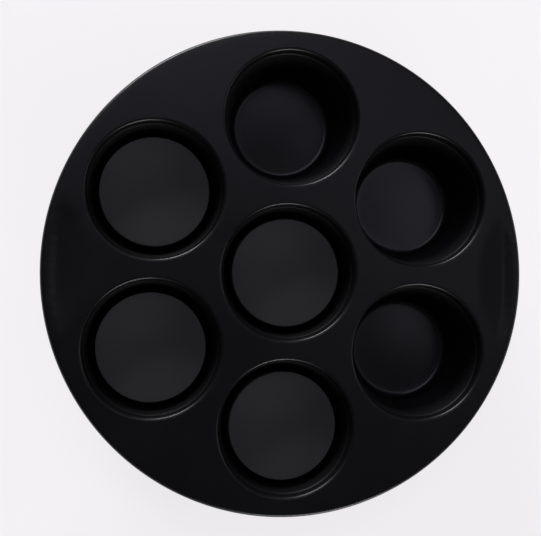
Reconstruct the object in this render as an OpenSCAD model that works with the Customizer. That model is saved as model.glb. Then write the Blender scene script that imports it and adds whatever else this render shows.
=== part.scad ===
// Round baking pan with one deep cup in the middle and a ring of six round it.
// A sheet-metal plate with a wired rim turns down into a short collar at each of its seven
// mouths. A separately drawn cup fits round each collar, with its flange under the plate.
// Flat-topped, skirted inserts stand in four of the cups and lift straight out.
// Units are millimetres. +Z is up, and the pan stands on the cups' floors at z = 0.

/* [Plate] */
// Plate left outside the outer cups' mouths, out to the pan's edge
rim_margin = 8.6; // [8:0.1:25]
// Thickness of the plate's sheet
plate_t = 0.8; // [0.6:0.1:1.2]
// Diameter of the wire rolled into the rim
wire_d = 2; // [1.4:0.1:3]
// Radius of the rounded edge over which the plate turns down into a mouth
edge_r = 1.4; // [1.2:0.1:2]
// Reach of the collar below the plate's top
collar_h = 4; // [4:0.5:8]

/* [Finger grips] */
// Radius of the arc that bounds each grip on the inside
grip_r = 44; // [36:1:60]
// Flat plate left between a grip and the rounded edges of the two nearest mouths
grip_gap = 3.8; // [3:0.1:7]
// Depth to which a grip is pressed into the plate
grip_depth = 1.2; // [0.6:0.1:2]
// Width over which a grip falls away from its arc, outward to its deepest line
grip_fall_w = 12; // [4:1:18]
// Width over which it rises again beside the rim
grip_rise_w = 3; // [2:0.5:6]

/* [Cups] */
// Inside diameter of a cup at its mouth, measured to the sharp corner
mouth_d = 59; // [48:0.5:90]
// Distance between the mouths of neighbouring cups
cup_web = 8.3; // [7.5:0.1:30]
// Inside diameter of a cup at its floor, measured to the sharp corner
floor_d = 46; // [36:0.5:56]
// Inside depth of a cup, from the top of the plate down to its floor
cup_depth = 33; // [24:1:60]
// Thickness of a cup's sheet
cup_t = 0.8; // [0.6:0.1:1.4]
// Inside radius between a cup's floor and its wall
corner_r = 3; // [1:0.5:5]
// Width of the flange by which a cup is welded under the plate
flange_w = 1.6; // [1:0.1:2]

/* [Inserts] */
// Depth of an insert's flat top below the plate
insert_depth = 10; // [3:0.5:20]
// Height above the cup's floor at which the insert's skirt seats on the taper
seat_h = 5.6; // [5:0.1:8]
// Thickness of an insert's sheet
insert_t = 1; // [0.6:0.1:1.5]
// Outside radius of the edge of an insert's flat top
insert_edge_r = 0.5; // [0.3:0.1:0.9]

/* [Clearances] */
// Gap between the rim wire and the sheet rolled round it
wire_clear = 0.05; // [0.02:0.01:0.2]
// Gap between a cup's neck and the collar inside it
neck_clear = 0.05; // [0.02:0.01:0.2]
// Gap between an insert's skirt and the cup's wall where it seats
seat_clear = 0.3; // [0.3:0.05:0.8]

/* [Hidden] */
$fn = 180;
small_fn = 48; // facets on bends and other small sections
over = 1; // how far a cutter runs past the face it cuts
tuck = 0.001; // how far inside a bend's circle the sloping side beside it ends, so they cross

// The ring's cups are numbered anticlockwise from +X, and the middle one comes first.
RING = ["back_right", "back", "back_left", "front_left", "front", "front_right"];
CUP_PLACES = concat(["centre"], RING);
INSERT_PLACES = ["centre", "back_left", "front_left", "front"];
CUP_NODES = [for (place = CUP_PLACES) str("cup_", place)];
INSERT_NODES = [for (place = INSERT_PLACES) str("insert_", place)];

ring_step = 360 / len(RING); // angle between neighbouring cups of the ring
ring_start = ring_step / 2; // angle of the first one, so that the grips fall between cups

mouth_r = mouth_d / 2;
floor_r = floor_d / 2;
cup_pitch = mouth_d + cup_web;
pan_r = cup_pitch + mouth_r + rim_margin;
plate_top = cup_t + cup_depth;
plate_bottom = plate_top - plate_t;

// The wall leans out from the vertical by this angle, and a sheet is this wide along X there.
wall_slope = (mouth_r - floor_r) / cup_depth;
wall_angle = atan(wall_slope);
wall_w = cup_t / cos(wall_angle);
collar_w = plate_t / cos(wall_angle);

edge_flat_r = mouth_r + bend_reach(edge_r); // where the flat plate ends at a mouth
collar_z = plate_top - collar_h;

// A cup's wall steps out by neck_step at its shoulder, which lets the collar fill the step
// and lie flush with the wall. A bevel inside the top of the neck clears the plate's bend.
neck_step = collar_w + neck_clear;
shoulder_z = collar_z - neck_clear - neck_step;
neck_top_r = wall_radius(plate_bottom) + neck_step;
neck_bevel = edge_r - plate_t + 0.1;
flange_r = neck_top_r + wall_w + flange_w;

wire_r = wire_d / 2;
bead_inner_r = wire_r + wire_clear;
bead_r = bead_inner_r + plate_t;
bead_centre = [pan_r - bead_r, plate_top - bead_r];

// A grip's inner arc is centred outside the pan, so that it clears the two cups beside it.
grip_centre_x = cup_pitch * cos(ring_start)
    + sqrt(pow(grip_r + edge_flat_r + grip_gap, 2) - pow(cup_pitch * sin(ring_start), 2));
grip_outer_r = pan_r - 2 * bead_r;

insert_top = plate_top - insert_depth;
insert_foot = cup_t + seat_h;
insert_r = wall_radius(insert_foot) - seat_clear / cos(wall_angle);

// Inside radius of a cup's wall at a height above z = 0
function wall_radius(z) = floor_r + (z - cup_t) * wall_slope;

// Distance from a sharp corner between a flat and a wall to where a bend of radius r starts
function bend_reach(r) = r * tan((90 - wall_angle) / 2);

// Centre of a named cup in plan
function cup_centre(place) = place == "centre" ? [0, 0] : ring_centre(search([place], RING)[0]);

function ring_centre(index) =
    let (angle = ring_start + index * ring_step)
    cup_pitch * [cos(angle), sin(angle)];

// Half section of a tapered vessel with a flat floor, filled to its axis. The floor is at
// z0, where the wall's line has radius r0. The wall steps out by neck_step above z_step.
module vessel_section(r0, z0, z1, r_corner, z_step) {
    centre = [r0 - bend_reach(r_corner), z0 + r_corner];
    polygon([
        [0, z0],
        [centre.x, z0],
        centre + (r_corner - tuck) * [cos(wall_angle), -sin(wall_angle)],
        [r0 + (z_step - z0) * wall_slope, z_step],
        [r0 + (z_step + neck_step - z0) * wall_slope + neck_step, z_step + neck_step],
        [r0 + (z1 - z0) * wall_slope + neck_step, z1],
        [0, z1]
    ]);
    translate(centre) circle(r_corner, $fn = small_fn);
}

module cup_section() {
    outer_floor_r = floor_r + wall_w - cup_t * wall_slope;
    outer_shoulder_z = shoulder_z - cup_t * tan(45 / 2);
    bevel_h = neck_bevel + over;
    difference() {
        union() {
            vessel_section(outer_floor_r, 0, plate_bottom, corner_r + cup_t, outer_shoulder_z);
            translate([0, plate_bottom - cup_t]) square([flange_r, cup_t]);
        }
        vessel_section(floor_r, cup_t, plate_bottom + over, corner_r, shoulder_z);
        polygon([
            [0, plate_bottom - bevel_h],
            [neck_top_r + neck_bevel - bevel_h, plate_bottom - bevel_h],
            [neck_top_r + neck_bevel + over, plate_bottom + over],
            [0, plate_bottom + over]
        ]);
    }
}

module cup(place) {
    color([0.09, 0.09, 0.10])
    translate(cup_centre(place)) rotate_extrude() cup_section();
}

// Sheet of the plate, rolled outward and under round the wire. The roll stops short of the
// plate's underside, which leaves the slit that a wired edge has.
module plate_section() {
    translate([0, plate_bottom]) square([bead_centre.x, plate_t]);
    translate(bead_centre) difference() {
        circle(bead_r, $fn = small_fn);
        circle(bead_inner_r, $fn = small_fn);
        translate([-2 * bead_r, -2 * bead_r])
        square([2 * bead_r - wire_r / 2, 3 * bead_r - plate_t]);
    }
}

// Flat-bottomed dish of radius r at the plate's top, with a sloping side slope_w wide
module dish_cone(r, slope_w) {
    slope = slope_w / grip_depth;
    translate([0, 0, plate_top - grip_depth])
    cylinder(h = grip_depth + over, r1 = r - slope_w, r2 = r + over * slope);
}

// Lens-shaped hollow pressed into the plate at one side, between the grip's arc and the rim
module grip_hollow(side) {
    intersection() {
        translate([side * grip_centre_x, 0]) dish_cone(grip_r, grip_fall_w);
        dish_cone(grip_outer_r, grip_rise_w);
    }
}

// The sheet that the hollow pushes down, kept below the plate's own underside
module grip_sheet(side) {
    intersection() {
        translate([0, 0, -plate_t]) grip_hollow(side);
        translate([0, 0, plate_bottom - grip_depth]) cylinder(h = grip_depth, r = pan_r);
    }
}

// Half section of the space under a flat at z_top and outside the wall, down to z_end. The
// sharp corner between flat and wall would have radius r_line, and a bend rounds it.
module turned_corner(r_line, z_top, r_bend, z_end, r_end) {
    centre = [r_line + bend_reach(r_bend), z_top - r_bend];
    polygon([
        [r_line - (z_top - z_end) * wall_slope, z_end],
        centre + (r_bend - tuck) * [-cos(wall_angle), sin(wall_angle)],
        [centre.x, z_top],
        [r_end, z_top],
        [r_end, z_end]
    ]);
    translate(centre) circle(r_bend, $fn = small_fn);
}

// Rounded edge and collar at a mouth, with a flat part that runs into the plate
module collar() {
    r_end = edge_flat_r + edge_r + over;
    rotate_extrude() difference() {
        turned_corner(mouth_r, plate_top, edge_r, collar_z, r_end);
        turned_corner(mouth_r + bend_reach(plate_t), plate_bottom, edge_r - plate_t,
            collar_z - over, r_end + over);
    }
}

module frame_plate() {
    color([0.12, 0.12, 0.14])
    union() {
        difference() {
            union() {
                rotate_extrude() plate_section();
                for (side = [-1, 1]) grip_sheet(side);
            }
            for (side = [-1, 1]) grip_hollow(side);
            for (place = CUP_PLACES)
                translate(concat(cup_centre(place), plate_bottom - over))
                cylinder(h = plate_t + 2 * over, r = edge_flat_r + edge_r);
        }
        for (place = CUP_PLACES) translate(cup_centre(place)) collar();
    }
}

module rim_wire() {
    color([0.62, 0.63, 0.65])
    rotate_extrude() translate(bead_centre) circle(wire_r, $fn = small_fn);
}

// Flat top with a rounded edge, and a skirt that hangs from it to the seat
module insert_section() {
    difference() {
        union() {
            translate([0, insert_foot]) square([insert_r, insert_top - insert_edge_r - insert_foot]);
            translate([0, insert_foot]) square([insert_r - insert_edge_r, insert_top - insert_foot]);
            translate([insert_r - insert_edge_r, insert_top - insert_edge_r])
            circle(insert_edge_r, $fn = small_fn);
        }
        translate([0, insert_foot - over])
        square([insert_r - insert_t, insert_top - insert_t - insert_foot + over]);
    }
}

module cup_insert(place) {
    color([0.14, 0.14, 0.15])
    translate(cup_centre(place)) rotate_extrude() insert_section();
}

frame_plate();
rim_wire();
for (i = [0 : len(CUP_PLACES) - 1])
    cup(CUP_PLACES[i]);
for (i = [0 : len(INSERT_PLACES) - 1])
    cup_insert(INSERT_PLACES[i]);
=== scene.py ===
import math

import bpy
from mathutils import Euler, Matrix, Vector
from mathutils.geometry import delaunay_2d_cdt


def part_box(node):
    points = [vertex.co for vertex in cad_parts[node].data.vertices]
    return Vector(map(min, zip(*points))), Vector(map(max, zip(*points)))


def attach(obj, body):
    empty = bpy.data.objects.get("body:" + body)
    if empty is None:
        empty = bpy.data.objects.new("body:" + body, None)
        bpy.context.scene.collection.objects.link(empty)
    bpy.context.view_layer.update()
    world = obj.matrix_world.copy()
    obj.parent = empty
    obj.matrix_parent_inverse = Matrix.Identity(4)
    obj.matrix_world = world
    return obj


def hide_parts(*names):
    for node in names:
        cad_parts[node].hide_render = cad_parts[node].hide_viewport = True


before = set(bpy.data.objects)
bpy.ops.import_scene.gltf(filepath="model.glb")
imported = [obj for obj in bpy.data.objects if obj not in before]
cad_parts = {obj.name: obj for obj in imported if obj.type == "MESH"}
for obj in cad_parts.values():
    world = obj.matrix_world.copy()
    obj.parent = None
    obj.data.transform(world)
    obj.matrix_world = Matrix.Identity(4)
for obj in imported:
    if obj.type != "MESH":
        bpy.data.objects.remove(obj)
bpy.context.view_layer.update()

# ---------------------------------------------------------------------------
# Sizes. The pan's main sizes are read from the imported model, in metres.
# ---------------------------------------------------------------------------

MM = 0.001

plate_lo, plate_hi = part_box("frame_plate")
wire_lo, wire_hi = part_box("rim_wire")
cup_lo, cup_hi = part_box("cup_centre")
insert_lo, insert_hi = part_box("insert_centre")

# Plate and its rolled edge. A cup's top is the underside of the plate.
SHEET = plate_hi.z - cup_hi.z
PAN_R = min(plate_hi.x, plate_hi.y, -plate_lo.x, -plate_lo.y)
PLATE_TOP = plate_hi.z
PLATE_BOTTOM = cup_hi.z
WIRE_R = (wire_hi.z - wire_lo.z) / 2
WIRE_GAP = 0.05 * MM
ROLL_INNER_R = WIRE_R + WIRE_GAP
ROLL_R = ROLL_INNER_R + SHEET
ROLL_CENTRE_R = PAN_R - ROLL_R
ROLL_CENTRE_Z = PLATE_TOP - ROLL_R
ROLL_END = math.radians(-106)  # where the rolled sheet stops, under the wire

# Cups. Radii at the mouth and the floor are those of the sharp corners.
MOUTH_R = 29.5 * MM
FLOOR_R = 23 * MM
CORNER_R = 3 * MM
FLANGE_R = cup_hi.x
FLOOR_Z = SHEET
FLOOR_CROWN = 0.18 * MM  # how far the middle of a drawn floor stands up
WALL_SLOPE = (MOUTH_R - FLOOR_R) / (PLATE_TOP - FLOOR_Z)
WALL_LEAN = math.atan(WALL_SLOPE)
WALL_WIDE = SHEET / math.cos(WALL_LEAN)

# Collars that the plate turns down into the cups, and the cups' necks round them
EDGE_R = 1.4 * MM
COLLAR_Z = PLATE_TOP - 4 * MM
NECK_GAP = 0.05 * MM
NECK_STEP = WALL_WIDE + NECK_GAP
NECK_BEVEL = EDGE_R - SHEET + 0.1 * MM
SHOULDER_Z = COLLAR_Z - NECK_GAP - NECK_STEP

# Inserts
INSERT_R = insert_hi.x
INSERT_TOP = insert_hi.z
INSERT_FOOT = insert_lo.z
INSERT_SHEET = 1 * MM
INSERT_EDGE_R = 0.5 * MM
INSERT_FOOT_R = 0.3 * MM  # rounding of the skirt's lower edge

# Finger grips: a lens between an arc and the rolled edge, which falls away from the arc
GRIP_R = 44 * MM
GRIP_GAP = 3.8 * MM
GRIP_DEPTH = 1.2 * MM
GRIP_FALL_W = 12 * MM
GRIP_RISE_W = 3 * MM
GRIP_SOFT = 0.12  # share of the fall over which its slope starts
GRIP_OUTER_R = PAN_R - 2 * ROLL_R


def bend_reach(radius):
    """Distance from a sharp corner between a flat and a wall to where a bend starts."""
    return radius * math.tan((math.pi / 2 - WALL_LEAN) / 2)


def wall_radius(height):
    """Inside radius of a cup's wall, carried on in a straight line to any height."""
    return FLOOR_R + (height - FLOOR_Z) * WALL_SLOPE


def centre_of(node):
    """Middle of a CAD node's box, in plan."""
    lo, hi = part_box(node)
    return Vector(((lo.x + hi.x) / 2, (lo.y + hi.y) / 2, 0))


CUPS = sorted(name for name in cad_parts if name.startswith("cup_"))
INSERTS = sorted(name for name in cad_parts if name.startswith("insert_"))
RIGHT_CUP = centre_of("cup_back_right")
EDGE_FLAT_R = MOUTH_R + bend_reach(EDGE_R)  # where the flat plate ends at a mouth
GRIP_X = RIGHT_CUP.x + math.sqrt((GRIP_R + EDGE_FLAT_R + GRIP_GAP) ** 2 - RIGHT_CUP.y ** 2)

# ---------------------------------------------------------------------------
# Materials
# ---------------------------------------------------------------------------


def linear(hex_colour):
    """sRGB hex to the linear RGBA that shaders take."""
    parts = [int(hex_colour[i:i + 2], 16) / 255 for i in (1, 3, 5)]
    return [c / 12.92 if c <= 0.04045 else ((c + 0.055) / 1.055) ** 2.4 for c in parts] + [1]


def per_mm(size):
    """Scale of a pattern in object space whose features are this many millimetres apart."""
    return 1000 / size


def add(tree, kind, settings=None, inputs=None):
    """Adds a node. settings are its own properties; inputs are values, or sockets to link."""
    node = tree.nodes.new(kind)
    for key, value in (settings or {}).items():
        setattr(node, key, value)
    for key, value in (inputs or {}).items():
        if isinstance(value, bpy.types.NodeSocket):
            tree.links.new(value, node.inputs[key])
        else:
            node.inputs[key].default_value = value
    return node


def new_material(name):
    material = bpy.data.materials.new(name)
    material.use_nodes = True
    material.node_tree.nodes.clear()
    return material, material.node_tree


def close_material(tree, shader):
    add(tree, "ShaderNodeOutputMaterial", inputs={"Surface": shader.outputs[0]})


def sprayed_nonstick_plate():
    """Black PTFE non-stick on sheet steel, sprayed and baked. Spray leaves a fine orange peel
    and a satin gloss that drifts a little every few centimetres; stacking leaves faint rubs."""
    material, tree = new_material("sprayed_nonstick_plate")
    place = add(tree, "ShaderNodeTexCoord").outputs["Object"]
    # Orange peel is 0.3 mm from crest to crest; it is drawn at 0.9 mm so that it shows.
    peel = add(tree, "ShaderNodeTexNoise", inputs={
        "Vector": place, "Scale": per_mm(0.9), "Detail": 3, "Roughness": 0.5})
    # Sheet steel pressed thin is never quite flat between the cups.
    pull = add(tree, "ShaderNodeTexNoise", inputs={
        "Vector": place, "Scale": per_mm(26), "Detail": 1, "Roughness": 0.4})
    cloud = add(tree, "ShaderNodeTexNoise", inputs={
        "Vector": place, "Scale": per_mm(34), "Detail": 3, "Roughness": 0.55, "Distortion": 0.6})
    # Rubs from stacking are long and 0.2 mm wide; drawn 0.6 mm wide.
    rub_place = add(tree, "ShaderNodeMapping", inputs={
        "Vector": place, "Rotation": (0, 0, 0.6), "Scale": (1, 0.035, 1)})
    rub = add(tree, "ShaderNodeTexNoise", inputs={
        "Vector": rub_place.outputs[0], "Scale": per_mm(1.3), "Detail": 2, "Roughness": 0.7})
    rub_mask = add(tree, "ShaderNodeMapRange", inputs={
        "Value": rub.outputs[0], "From Min": 0.62, "From Max": 0.74, "To Min": 0, "To Max": 0.05})
    gloss = add(tree, "ShaderNodeMapRange", inputs={
        "Value": cloud.outputs[0], "From Min": 0.3, "From Max": 0.7,
        "To Min": 0.32, "To Max": 0.38})
    gloss_rubbed = add(tree, "ShaderNodeMath", {"operation": "SUBTRACT"}, {
        0: gloss.outputs[0], 1: rub_mask.outputs[0]})
    tint = add(tree, "ShaderNodeMix", {"data_type": "RGBA"}, {
        "Factor": cloud.outputs[0], "A": linear("#0B0B0D"), "B": linear("#0F0F12")})
    swell = add(tree, "ShaderNodeBump", inputs={
        "Height": pull.outputs[0], "Strength": 0.35, "Distance": 0.25 * MM})
    skin = add(tree, "ShaderNodeBump", inputs={
        "Height": peel.outputs[0], "Strength": 0.25, "Distance": 0.02 * MM,
        "Normal": swell.outputs[0]})
    shader = add(tree, "ShaderNodeBsdfPrincipled", inputs={
        "Base Color": tint.outputs["Result"], "Roughness": gloss_rubbed.outputs[0],
        "IOR": 1.45, "Normal": skin.outputs[0]})
    close_material(tree, shader)
    return material


def burnished_nonstick_cup():
    """The same coating on a deep-drawn cup, glossier because drawing burnishes the steel under
    it. The floor mirrors the light, and the wall shows upright draw lines."""
    material, tree = new_material("burnished_nonstick_cup")
    place = add(tree, "ShaderNodeTexCoord").outputs["Object"]
    seed = add(tree, "ShaderNodeObjectInfo").outputs["Random"]
    axes = add(tree, "ShaderNodeSeparateXYZ", inputs={"Vector": place})
    seed_w = add(tree, "ShaderNodeMath", {"operation": "MULTIPLY"}, {0: seed, 1: 40})
    # Orange peel as on the plate, drawn at 1.1 mm so that it shows.
    peel = add(tree, "ShaderNodeTexNoise", {"noise_dimensions": "4D"}, {
        "Vector": place, "W": seed_w.outputs[0], "Scale": per_mm(1.1), "Detail": 2})
    # Draw lines run up the wall, 0.4 mm apart; drawn 1.4 mm apart.
    line_place = add(tree, "ShaderNodeMapping", inputs={"Vector": place, "Scale": (1, 1, 0.03)})
    lines = add(tree, "ShaderNodeTexNoise", {"noise_dimensions": "4D"}, {
        "Vector": line_place.outputs[0], "W": seed_w.outputs[0], "Scale": per_mm(1.4), "Detail": 2})
    swell = add(tree, "ShaderNodeTexNoise", {"noise_dimensions": "4D"}, {
        "Vector": place, "W": seed_w.outputs[0], "Scale": per_mm(24), "Detail": 1})
    # Glossiest on the floor, and satin from just above it.
    gloss = add(tree, "ShaderNodeMapRange", inputs={
        "Value": axes.outputs["Z"], "From Min": FLOOR_Z + 0.2 * MM, "From Max": FLOOR_Z + 1.4 * MM,
        "To Min": 0.24, "To Max": 0.42})
    wave = add(tree, "ShaderNodeBump", inputs={
        "Height": swell.outputs[0], "Strength": 0.3, "Distance": 0.15 * MM})
    drawn = add(tree, "ShaderNodeBump", inputs={
        "Height": lines.outputs[0], "Strength": 0.2, "Distance": 0.03 * MM,
        "Normal": wave.outputs[0]})
    skin = add(tree, "ShaderNodeBump", inputs={
        "Height": peel.outputs[0], "Strength": 0.18, "Distance": 0.02 * MM,
        "Normal": drawn.outputs[0]})
    shader = add(tree, "ShaderNodeBsdfPrincipled", inputs={
        "Base Color": linear("#19191B"), "Roughness": gloss.outputs[0],
        "IOR": 1.47, "Normal": skin.outputs[0]})
    close_material(tree, shader)
    return material


def matte_grey_insert():
    """Dark grey ceramic-filled coating on steel. The filler makes it matte and even, with a
    grain as fine as 400 grit paper and hardly any shine."""
    material, tree = new_material("matte_grey_insert")
    place = add(tree, "ShaderNodeTexCoord").outputs["Object"]
    # 400 grit is 0.035 mm; the grain is drawn at 0.5 mm.
    grain = add(tree, "ShaderNodeTexNoise", inputs={
        "Vector": place, "Scale": per_mm(0.5), "Detail": 2, "Roughness": 0.6})
    cloud = add(tree, "ShaderNodeTexNoise", inputs={
        "Vector": place, "Scale": per_mm(18), "Detail": 2})
    tint = add(tree, "ShaderNodeMix", {"data_type": "RGBA"}, {
        "Factor": cloud.outputs[0], "A": linear("#5D5D5B"), "B": linear("#5F5F5D")})
    skin = add(tree, "ShaderNodeBump", inputs={
        "Height": grain.outputs[0], "Strength": 0.2, "Distance": 0.02 * MM})
    shader = add(tree, "ShaderNodeBsdfPrincipled", inputs={
        "Base Color": tint.outputs["Result"], "Roughness": 0.9,
        "Specular IOR Level": 0.12, "Normal": skin.outputs[0]})
    close_material(tree, shader)
    return material


def galvanised_wire():
    """Zinc-coated drawn steel wire: pale grey, half dull, with zinc spangle along it."""
    material, tree = new_material("galvanised_wire")
    place = add(tree, "ShaderNodeTexCoord").outputs["Object"]
    spangle = add(tree, "ShaderNodeTexVoronoi", inputs={"Vector": place, "Scale": per_mm(2.5)})
    tint = add(tree, "ShaderNodeMix", {"data_type": "RGBA"}, {
        "Factor": spangle.outputs["Distance"], "A": linear("#C3C6CA"), "B": linear("#A4A8AD")})
    gloss = add(tree, "ShaderNodeMapRange", inputs={
        "Value": spangle.outputs["Distance"], "From Min": 0, "From Max": 1,
        "To Min": 0.38, "To Max": 0.55})
    shader = add(tree, "ShaderNodeBsdfPrincipled", inputs={
        "Base Color": tint.outputs["Result"], "Metallic": 1, "Roughness": gloss.outputs[0]})
    close_material(tree, shader)
    return material


def lit_acrylic_table():
    """White acrylic table lit from below, as used for cut-out product shots: pale lavender
    white, no grain, and shadows that nearly vanish."""
    material, tree = new_material("lit_acrylic_table")
    shader = add(tree, "ShaderNodeBsdfPrincipled", inputs={
        "Base Color": linear("#B4B1AE"), "Roughness": 0.9, "Specular IOR Level": 0.1,
        "Emission Color": linear("#F3F1F4"), "Emission Strength": 0.85})
    close_material(tree, shader)
    return material


# ---------------------------------------------------------------------------
# Meshes
# ---------------------------------------------------------------------------

TURN_STEPS = 192  # steps in a full turn of a cup or an insert
RIM_STEPS = 432  # steps round the plate's edge
MOUTH_STEPS = 192  # steps round a mouth in the plate
GRID = 2 * MM  # spacing of the points that carry the plate's surface
RIM_INSET = 1.3 * MM  # from the rolled edge in to the extra ring of points beside it
MOUTH_INSETS = (0.9 * MM, 2 * MM)  # from a mouth's edge out to the two extra rings round it


def arc(centre, radius, start, end, steps):
    """Points on an arc in a (radius, height) section; angles are in radians."""
    angles = [start + (end - start) * i / steps for i in range(steps + 1)]
    return [(centre[0] + radius * math.cos(a), centre[1] + radius * math.sin(a)) for a in angles]


def mesh_object(name, points, faces, location=(0, 0, 0), sharp=math.radians(40)):
    """A smooth-shaded mesh object whose creases stay crisp."""
    mesh = bpy.data.meshes.new(name)
    mesh.from_pydata(points, [], faces)
    mesh.validate()
    mesh.shade_smooth()
    mesh.set_sharp_from_angle(angle=sharp)
    piece = bpy.data.objects.new(name, mesh)
    piece.location = location
    bpy.context.scene.collection.objects.link(piece)
    return piece


def lathe(name, section, location, steps=TURN_STEPS):
    """Turns a section, which starts and ends on the axis, into a closed solid."""
    ring = section[1:-1]
    points = [(0, 0, section[0][1]), (0, 0, section[-1][1])]
    for step in range(steps):
        turn = 2 * math.pi * step / steps
        points += [(r * math.cos(turn), r * math.sin(turn), z) for r, z in ring]
    count = len(ring)
    faces = []
    for step in range(steps):
        here = 2 + step * count
        there = 2 + (step + 1) % steps * count
        faces.append((0, here, there))
        faces += [(here + i, here + i + 1, there + i + 1, there + i) for i in range(count - 1)]
        faces.append((1, there + count - 1, here + count - 1))
    return mesh_object(name, points, faces, location)


def vessel_corner(floor_r, floor_z, corner_r, steps):
    """Round corner between a floor and a wall that leans out; floor_r is the sharp corner's."""
    centre = (floor_r - bend_reach(corner_r), floor_z + corner_r)
    return arc(centre, corner_r, -math.pi / 2, -WALL_LEAN, steps)


def crowned_floor(radius, height, steps):
    """A floor that stands up by FLOOR_CROWN in the middle, from the axis to radius."""
    shares = [i / steps for i in range(steps)]
    return [(radius * s, height + FLOOR_CROWN * (1 - s * s) ** 2) for s in shares]


def cup_section():
    """Section of a cup: floor, wall, shoulder, neck, flange under the plate, and back down."""
    inside = vessel_corner(FLOOR_R, FLOOR_Z, CORNER_R, 12)
    outer_floor_r = FLOOR_R + WALL_WIDE - SHEET * WALL_SLOPE
    outside = vessel_corner(outer_floor_r, 0, CORNER_R + SHEET, 12)
    outer_shoulder_z = SHOULDER_Z - SHEET * math.tan(math.pi / 8)
    outer_neck_z = outer_shoulder_z + NECK_STEP
    bevel_z = PLATE_BOTTOM - NECK_BEVEL
    flange_foot = PLATE_BOTTOM - SHEET
    section = crowned_floor(inside[0][0], FLOOR_Z, 14) + inside
    inner_heights = (inside[-1][1] + 1 * MM, SHOULDER_Z - 1 * MM, SHOULDER_Z)
    section += [(wall_radius(z), z) for z in inner_heights]
    section += [
        (wall_radius(SHOULDER_Z + NECK_STEP) + NECK_STEP, SHOULDER_Z + NECK_STEP),
        (wall_radius(bevel_z) + NECK_STEP, bevel_z),
        (wall_radius(PLATE_BOTTOM) + NECK_STEP + NECK_BEVEL, PLATE_BOTTOM),
        (FLANGE_R, PLATE_BOTTOM),
        (FLANGE_R, flange_foot),
        (wall_radius(flange_foot) + NECK_STEP + WALL_WIDE, flange_foot),
        (wall_radius(outer_neck_z) + NECK_STEP + WALL_WIDE, outer_neck_z),
    ]
    outer_heights = (outer_shoulder_z, outer_shoulder_z - 1 * MM, outside[-1][1] + 1 * MM)
    section += [(wall_radius(z) + WALL_WIDE, z) for z in outer_heights]
    section += outside[::-1]
    section += crowned_floor(outside[0][0], 0, 8)[::-1]
    return section


def collar_section():
    """Section of a collar, from the plate's upper face over the edge and back up underneath."""
    centre = (EDGE_FLAT_R, PLATE_TOP - EDGE_R)
    wall_side = math.pi - WALL_LEAN
    section = arc(centre, EDGE_R, math.pi / 2, wall_side, 16)[1:]
    section += [(wall_radius(COLLAR_Z), COLLAR_Z), (wall_radius(COLLAR_Z) + WALL_WIDE, COLLAR_Z)]
    section += arc(centre, EDGE_R - SHEET, wall_side, math.pi / 2, 8)[:-1]
    return section


def roll_section():
    """Section of the rolled edge, from the plate's upper face round the wire to its lower."""
    centre = (ROLL_CENTRE_R, ROLL_CENTRE_Z)
    section = arc(centre, ROLL_R, math.pi / 2, ROLL_END, 28)[1:]
    section += arc(centre, ROLL_INNER_R, ROLL_END, math.pi / 2, 20)[:-1]
    return section


def insert_section():
    """Section of an insert: flat top, rounded edge, skirt, and back up inside."""
    edge = (INSERT_R - INSERT_EDGE_R, INSERT_TOP - INSERT_EDGE_R)
    inner_r = INSERT_R - INSERT_SHEET
    inner_top = INSERT_TOP - INSERT_SHEET
    inner_edge = (inner_r - INSERT_EDGE_R, inner_top - INSERT_EDGE_R)
    section = [(0, INSERT_TOP), (INSERT_R * 0.5, INSERT_TOP)]
    section += arc(edge, INSERT_EDGE_R, math.pi / 2, 0, 8)
    foot_z = INSERT_FOOT + INSERT_FOOT_R
    section += arc((INSERT_R - INSERT_FOOT_R, foot_z), INSERT_FOOT_R, 0, -math.pi / 2, 5)
    section += arc((inner_r + INSERT_FOOT_R, foot_z), INSERT_FOOT_R, -math.pi / 2, -math.pi, 5)
    section += arc(inner_edge, INSERT_EDGE_R, 0, math.pi / 2, 8)
    section += [(inner_r * 0.5, inner_top), (0, inner_top)]
    return section


def ease(share):
    """0 below 0, 1 above 1, and a smooth rise between."""
    share = min(max(share, 0), 1)
    return share * share * (3 - 2 * share)


def grip_fall(x, y):
    """Depth of the finger grips below the plate at a point."""
    depth = 0
    rise = ease((GRIP_OUTER_R - math.hypot(x, y)) / GRIP_RISE_W)
    for side in (-1, 1):
        fall = min(max((GRIP_R - math.hypot(x - side * GRIP_X, y)) / GRIP_FALL_W, 0), 1)
        if fall < GRIP_SOFT:
            fall -= GRIP_SOFT * ease(1 - fall / GRIP_SOFT) * fall
        depth += GRIP_DEPTH * fall * rise
    return depth


def circle_points(centre, radius, steps, offset=0):
    """Points round a circle; offset turns them by that share of a step."""
    angles = [2 * math.pi * (i + offset) / steps for i in range(steps)]
    return [centre.to_2d() + radius * Vector((math.cos(a), math.sin(a))) for a in angles]


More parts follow.
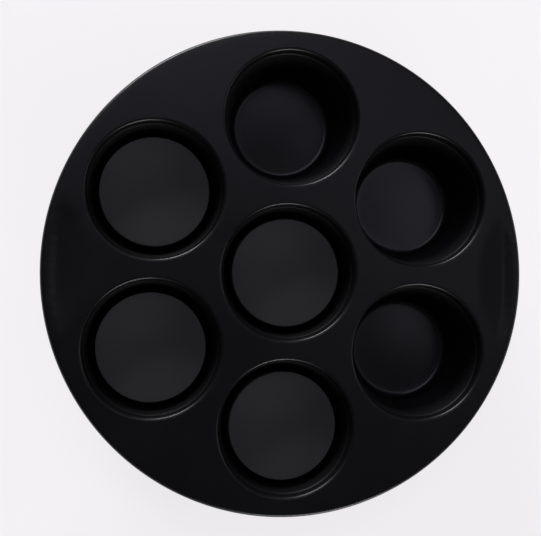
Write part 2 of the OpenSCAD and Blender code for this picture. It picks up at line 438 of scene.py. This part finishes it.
def plate_surface():
    """Points and triangles that cover the plate between its mouths and its rolled edge. The
    rim's points come first, and then each mouth's, in order round the circle."""
    centres = [centre_of(name) for name in CUPS]
    rings = [circle_points(Vector((0, 0, 0)), ROLL_CENTRE_R, RIM_STEPS)]
    rings += [circle_points(centre, EDGE_FLAT_R, MOUTH_STEPS) for centre in centres]
    loose = circle_points(Vector((0, 0, 0)), ROLL_CENTRE_R - RIM_INSET, RIM_STEPS, 0.5)
    for centre in centres:
        loose += circle_points(centre, EDGE_FLAT_R + MOUTH_INSETS[0], MOUTH_STEPS, 0.5)
        loose += circle_points(centre, EDGE_FLAT_R + MOUTH_INSETS[1], MOUTH_STEPS)
    points = []
    edges = []
    for ring in rings:
        first = len(points)
        points += ring
        edges += [(first + i, first + (i + 1) % len(ring)) for i in range(len(ring))]
    points += loose
    row_height = GRID * math.sqrt(3) / 2
    rows = int(ROLL_CENTRE_R / row_height)
    columns = int(ROLL_CENTRE_R / GRID) + 1
    rim_reach = ROLL_CENTRE_R - RIM_INSET - 0.7 * GRID
    mouth_reach = EDGE_FLAT_R + MOUTH_INSETS[1] + 0.5 * GRID
    for row in range(-rows, rows + 1):
        for column in range(-columns, columns + 1):
            spot = Vector(((column + (row % 2) / 2) * GRID, row * row_height))
            near_mouth = any((spot - c.to_2d()).length < mouth_reach for c in centres)
            if spot.length <= rim_reach and not near_mouth:
                points.append(spot)
    points, _, triangles, *_ = delaunay_2d_cdt(points, edges, [], 0, 1e-7)

    def on_sheet(triangle):
        middle = sum((points[i] for i in triangle), Vector((0, 0))) / 3
        return all((middle - c.to_2d()).length > EDGE_FLAT_R for c in centres)

    return points, [t for t in triangles if on_sheet(t)]


def turned_edge(points, faces, ring, offset, centre, section, outward):
    """Joins a ring of the plate's upper face to the ring below it, whose points come offset
    later, through a section turned about centre."""
    start = len(points)
    for step in range(len(ring)):
        turn = 2 * math.pi * step / len(ring)
        x, y = math.cos(turn), math.sin(turn)
        points += [(centre.x + r * x, centre.y + r * y, z) for r, z in section]
    count = len(section)
    for step in range(len(ring)):
        here, there = [
            [ring[s], *range(start + s * count, start + (s + 1) * count), ring[s] + offset]
            for s in (step, (step + 1) % len(ring))]
        for i in range(len(here) - 1):
            quad = (here[i], here[i + 1], there[i + 1], there[i])
            faces.append(quad if outward else quad[::-1])


def plate():
    """The plate: a sheet with seven collared mouths and two pressed grips, rolled under round
    the wire."""
    flat, triangles = plate_surface()
    count = len(flat)
    upper = [(p.x, p.y, PLATE_TOP - grip_fall(p.x, p.y)) for p in flat]
    points = upper + [(x, y, z - SHEET) for x, y, z in upper]
    faces = [tuple(t) for t in triangles]
    faces += [tuple(i + count for i in reversed(t)) for t in triangles]
    turned_edge(points, faces, range(RIM_STEPS), count, Vector((0, 0, 0)), roll_section(), True)
    for index, name in enumerate(CUPS):
        first = RIM_STEPS + index * MOUTH_STEPS
        ring = range(first, first + MOUTH_STEPS)
        turned_edge(points, faces, ring, count, centre_of(name), collar_section(), False)
    return mesh_object("plate_sheet", points, faces)


# ---------------------------------------------------------------------------
# The pan
# ---------------------------------------------------------------------------


def fit(piece, body, slot, material, *nodes):
    """Gives a piece its material, and puts it in place of CAD nodes on a body. slot is not used."""
    piece.data.materials.clear()
    piece.data.materials.append(material)
    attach(piece, body)
    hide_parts(*nodes)


fit(plate(), "pan", "plate_coating", sprayed_nonstick_plate(), "frame_plate")

cup_coating = burnished_nonstick_cup()
for node in CUPS:
    piece = lathe(node + "_drawn", cup_section(), centre_of(node))
    fit(piece, "pan", "cup_coating", cup_coating, node)

insert_coating = matte_grey_insert()
for node in INSERTS:
    piece = lathe(node + "_cap", insert_section(), centre_of(node))
    fit(piece, node, "insert_coating", insert_coating, node)

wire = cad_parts["rim_wire"]
wire.data.materials.clear()
wire.data.materials.append(galvanised_wire())

# ---------------------------------------------------------------------------
# Table, light and camera
# ---------------------------------------------------------------------------

TABLE_HALF = 3  # metres

table = mesh_object("table", [
    (-TABLE_HALF, -TABLE_HALF, 0), (TABLE_HALF, -TABLE_HALF, 0),
    (TABLE_HALF, TABLE_HALF, 0), (-TABLE_HALF, TABLE_HALF, 0)], [(0, 1, 2, 3)])
table.data.materials.append(lit_acrylic_table())

AIM = Vector((0, 0, PLATE_TOP))
PANEL_DISTANCE = 1.3  # metres from the pan to each softbox


def soft_panel(name, azimuth, from_zenith, size, glow, colour="#FFFFFF"):
    """A softbox that faces the pan. Angles are in degrees, azimuth anticlockwise from +X;
    glow is its radiance, on the scale where 1 shows as white."""
    light = bpy.data.lights.new(name, "AREA")
    light.shape = "RECTANGLE"
    light.size, light.size_y = size
    light.energy = glow * math.pi * size[0] * size[1]
    light.color = linear(colour)[:3]
    panel = bpy.data.objects.new(name, light)
    tilt = math.radians(from_zenith)
    turn = math.radians(azimuth)
    direction = Vector((
        math.sin(tilt) * math.cos(turn), math.sin(tilt) * math.sin(turn), math.cos(tilt)))
    panel.location = AIM + direction * PANEL_DISTANCE
    panel.rotation_euler = direction.to_track_quat("Z", "Y").to_euler()
    bpy.context.scene.collection.objects.link(panel)


soft_panel("key_back", 110, 81, (0.7, 0.36), 16)
soft_panel("key_front", 287, 81, (0.7, 0.36), 8)
soft_panel("fill_right", 0, 70, (0.8, 0.5), 1)
soft_panel("glow_overhead_back", 98, 28, (0.8, 0.5), 1.15, "#E6E4FF")
soft_panel("glow_overhead_right", 16, 23, (0.42, 0.28), 0.68, "#ECEAFF")

world = bpy.data.worlds.new("studio_walls")
world.use_nodes = True
world.node_tree.nodes["Background"].inputs["Color"].default_value = linear("#E8E8F2")
world.node_tree.nodes["Background"].inputs["Strength"].default_value = 0.065
bpy.context.scene.world = world
bpy.context.scene.view_settings.view_transform = "Standard"

# The camera looks down from over the pan's left half, at about twice the pan's width.
camera_data = bpy.data.cameras.new("camera")
camera_data.lens = 65.2
camera_data.sensor_width = 36
camera_data.clip_start = 0.01
camera = bpy.data.objects.new("camera", camera_data)
camera.location = AIM + Vector((-74.9, -10.8, 416.1)) * MM
camera.rotation_euler = Euler([math.radians(a) for a in (1.49, -9.12, 1.25)])
bpy.context.scene.collection.objects.link(camera)
bpy.context.scene.camera = camera
